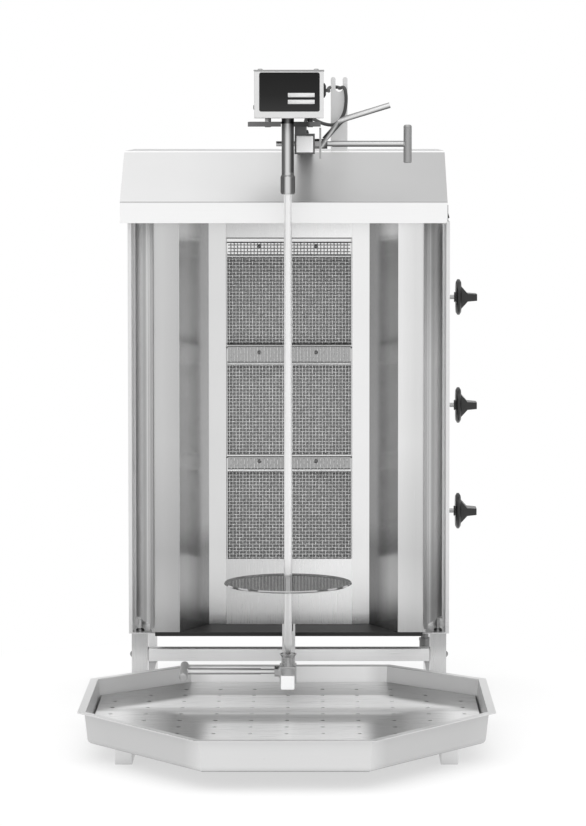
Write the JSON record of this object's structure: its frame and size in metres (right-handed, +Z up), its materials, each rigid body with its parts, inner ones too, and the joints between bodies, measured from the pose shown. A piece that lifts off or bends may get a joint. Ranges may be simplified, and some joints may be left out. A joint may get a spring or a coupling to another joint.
{
  "type": "gas doner kebab grill",
  "caption": "Gas kebab grill: radiant burners in a steel body with reflector columns, hinged side wings, motor-driven spit on a sliding carriage, drip tray drawer below.",
  "frame": {"origin": "on the floor, at the middle of the whole object's footprint", "axes": "+X to the right seen from the front, where the knobs are; +Y from the front towards the back panel; +Z up"},
  "size_m": [0.6, 0.962, 0.993],
  "materials": {
    "frame_steel": "satin",
    "body_steel": "satin",
    "bright_steel": "bright annealed",
    "tray_steel": "satin",
    "spit_steel": "ground",
    "machined_steel": "machined",
    "mesh_steel": "woven wire",
    "ceramic": "matt ceramic",
    "gas_pipe": "plated",
    "brass": "machined",
    "black_plastic": "satin",
    "white_plastic": "satin",
    "cable": "satin",
    "motor_paint": "painted"
  },
  "bodies": {
    "base": {"base_rail_left": "frame_steel", "base_rail_right": "frame_steel", "front_post_left": "frame_steel", "front_post_right": "frame_steel", "rear_posts": "frame_steel", "crossbars": "frame_steel", "frame_bolts": "machined_steel", "hinge_bushes": "machined_steel", "base_pan": "body_steel", "side_panel_left": "body_steel", "side_panel_right": "body_steel", "back_panel": "body_steel", "reflector_left": "bright_steel", "reflector_right": "bright_steel", "burner_panel": "bright_steel", "burner_housing_1": "body_steel", "burner_housing_2": "body_steel", "burner_housing_3": "body_steel", "burner_plaques": "ceramic", "burner_meshes": "mesh_steel", "gas_manifold": "gas_pipe", "gas_inlet": "brass", "gas_valves": "brass", "burner_feed_pipes": "gas_pipe", "hood": "body_steel", "switch_bezel": "black_plastic", "upper_arm": "frame_steel", "arm_caps": "white_plastic", "lower_arm": "frame_steel", "fork_post": "frame_steel", "arm_gland": "black_plastic", "motor_lead": "cable"},
    "tray": {"drip_tray": "tray_steel", "perforated_plate": "tray_steel"},
    "wing_left": {"wing_left": "body_steel"},
    "wing_right": {"wing_right": "body_steel"},
    "carriage": {"carriage_sleeve": "frame_steel", "motor_plate": "body_steel", "motor_box": "body_steel", "motor_box_lid": "body_steel", "gear_motor": "motor_paint", "box_grommet": "black_plastic"},
    "drive": {"drive_sleeve": "machined_steel"},
    "spit": {"spit": "spit_steel"},
    "disc": {"meat_disc": "bright_steel"},
    "upper_clamp": {"upper_clamp_handle": "machined_steel"},
    "lever": {"bent_lever": "machined_steel"},
    "slider": {"lower_slider": "frame_steel", "spit_cup": "machined_steel"},
    "lower_clamp": {"lower_clamp_handle": "machined_steel"},
    "rocker": {"switch_rocker": "black_plastic"},
    "core_1": {"valve_core_1": "brass"},
    "knob_1": {"spindle_1": "machined_steel", "knob_1": "black_plastic"},
    "core_2": {"valve_core_2": "brass"},
    "knob_2": {"spindle_2": "machined_steel", "knob_2": "black_plastic"},
    "core_3": {"valve_core_3": "brass"},
    "knob_3": {"spindle_3": "machined_steel", "knob_3": "black_plastic"}
  },
  "joints": [
    {"name": "carriage_slide", "type": "slide", "parent": "base", "child": "carriage", "axis": [0, 1, 0], "range_m": [0, 0.05], "deforming": ["motor_lead"]},
    {"name": "slider_slide", "type": "slide", "parent": "base", "child": "slider", "axis": [0, 1, 0], "range_m": [0, 0.05]},
    {"name": "spit_spin", "type": "hinge", "parent": "carriage", "child": "drive", "pos_m": [0, -0.019, 0.85], "axis": [0, 0, 1], "continuous": true},
    {"name": "spit_lift", "type": "slide", "parent": "drive", "child": "spit", "axis": [0, 0, 1], "range_m": [0, 0.022]},
    {"name": "disc_slide", "type": "slide", "parent": "spit", "child": "disc", "axis": [0, 0, 1], "range_m": [-0.06, 0.45]},
    {"name": "upper_clamp_turn", "type": "hinge", "parent": "carriage", "child": "upper_clamp", "pos_m": [0.1, 0.061, 0.8825], "axis": [1, 0, 0], "range_deg": [-180, 180]},
    {"name": "lever_turn", "type": "hinge", "parent": "carriage", "child": "lever", "pos_m": [0.055, 0.061, 0.8825], "axis": [1, 0, 0], "range_deg": [-30, 75]},
    {"name": "lower_clamp_turn", "type": "hinge", "parent": "slider", "child": "lower_clamp", "pos_m": [-0.1, -0.011, 0.0885], "axis": [1, 0, 0], "range_deg": [-180, 180]},
    {"name": "tray_slide", "type": "slide", "parent": "base", "child": "tray", "axis": [0, -1, 0], "range_m": [0, 0.08]},
    {"name": "wing_left_hinge", "type": "hinge", "parent": "base", "child": "wing_left", "pos_m": [-0.2324, 0.168, 0.45], "axis": [0, 0, 1], "range_deg": [-33, 0]},
    {"name": "wing_right_hinge", "type": "hinge", "parent": "base", "child": "wing_right", "pos_m": [0.2324, 0.168, 0.45], "axis": [0, 0, 1], "range_deg": [0, 33]},
    {"name": "switch_rock", "type": "hinge", "parent": "base", "child": "rocker", "pos_m": [0.2405, 0.116, 0.776], "axis": [0, 1, 0], "range_deg": [0, 16]},
    {"name": "valve_1_turn", "type": "hinge", "parent": "base", "child": "core_1", "pos_m": [0.235, 0.301, 0.2945], "axis": [1, 0, 0], "range_deg": [0, 180]},
    {"name": "knob_1_push", "type": "slide", "parent": "core_1", "child": "knob_1", "axis": [-1, 0, 0], "range_m": [0, 0.003], "stiffness_N_per_m": 2000},
    {"name": "valve_2_turn", "type": "hinge", "parent": "base", "child": "core_2", "pos_m": [0.235, 0.301, 0.464], "axis": [1, 0, 0], "range_deg": [0, 180]},
    {"name": "knob_2_push", "type": "slide", "parent": "core_2", "child": "knob_2", "axis": [-1, 0, 0], "range_m": [0, 0.003], "stiffness_N_per_m": 2000},
    {"name": "valve_3_turn", "type": "hinge", "parent": "base", "child": "core_3", "pos_m": [0.235, 0.301, 0.6365], "axis": [1, 0, 0], "range_deg": [0, 180]},
    {"name": "knob_3_push", "type": "slide", "parent": "core_3", "child": "knob_3", "axis": [-1, 0, 0], "range_m": [0, 0.003], "stiffness_N_per_m": 2000}
  ],
  "couplings": [
    {"joint": "slider_slide", "follows": "carriage_slide", "ratio": 1}
  ]
}
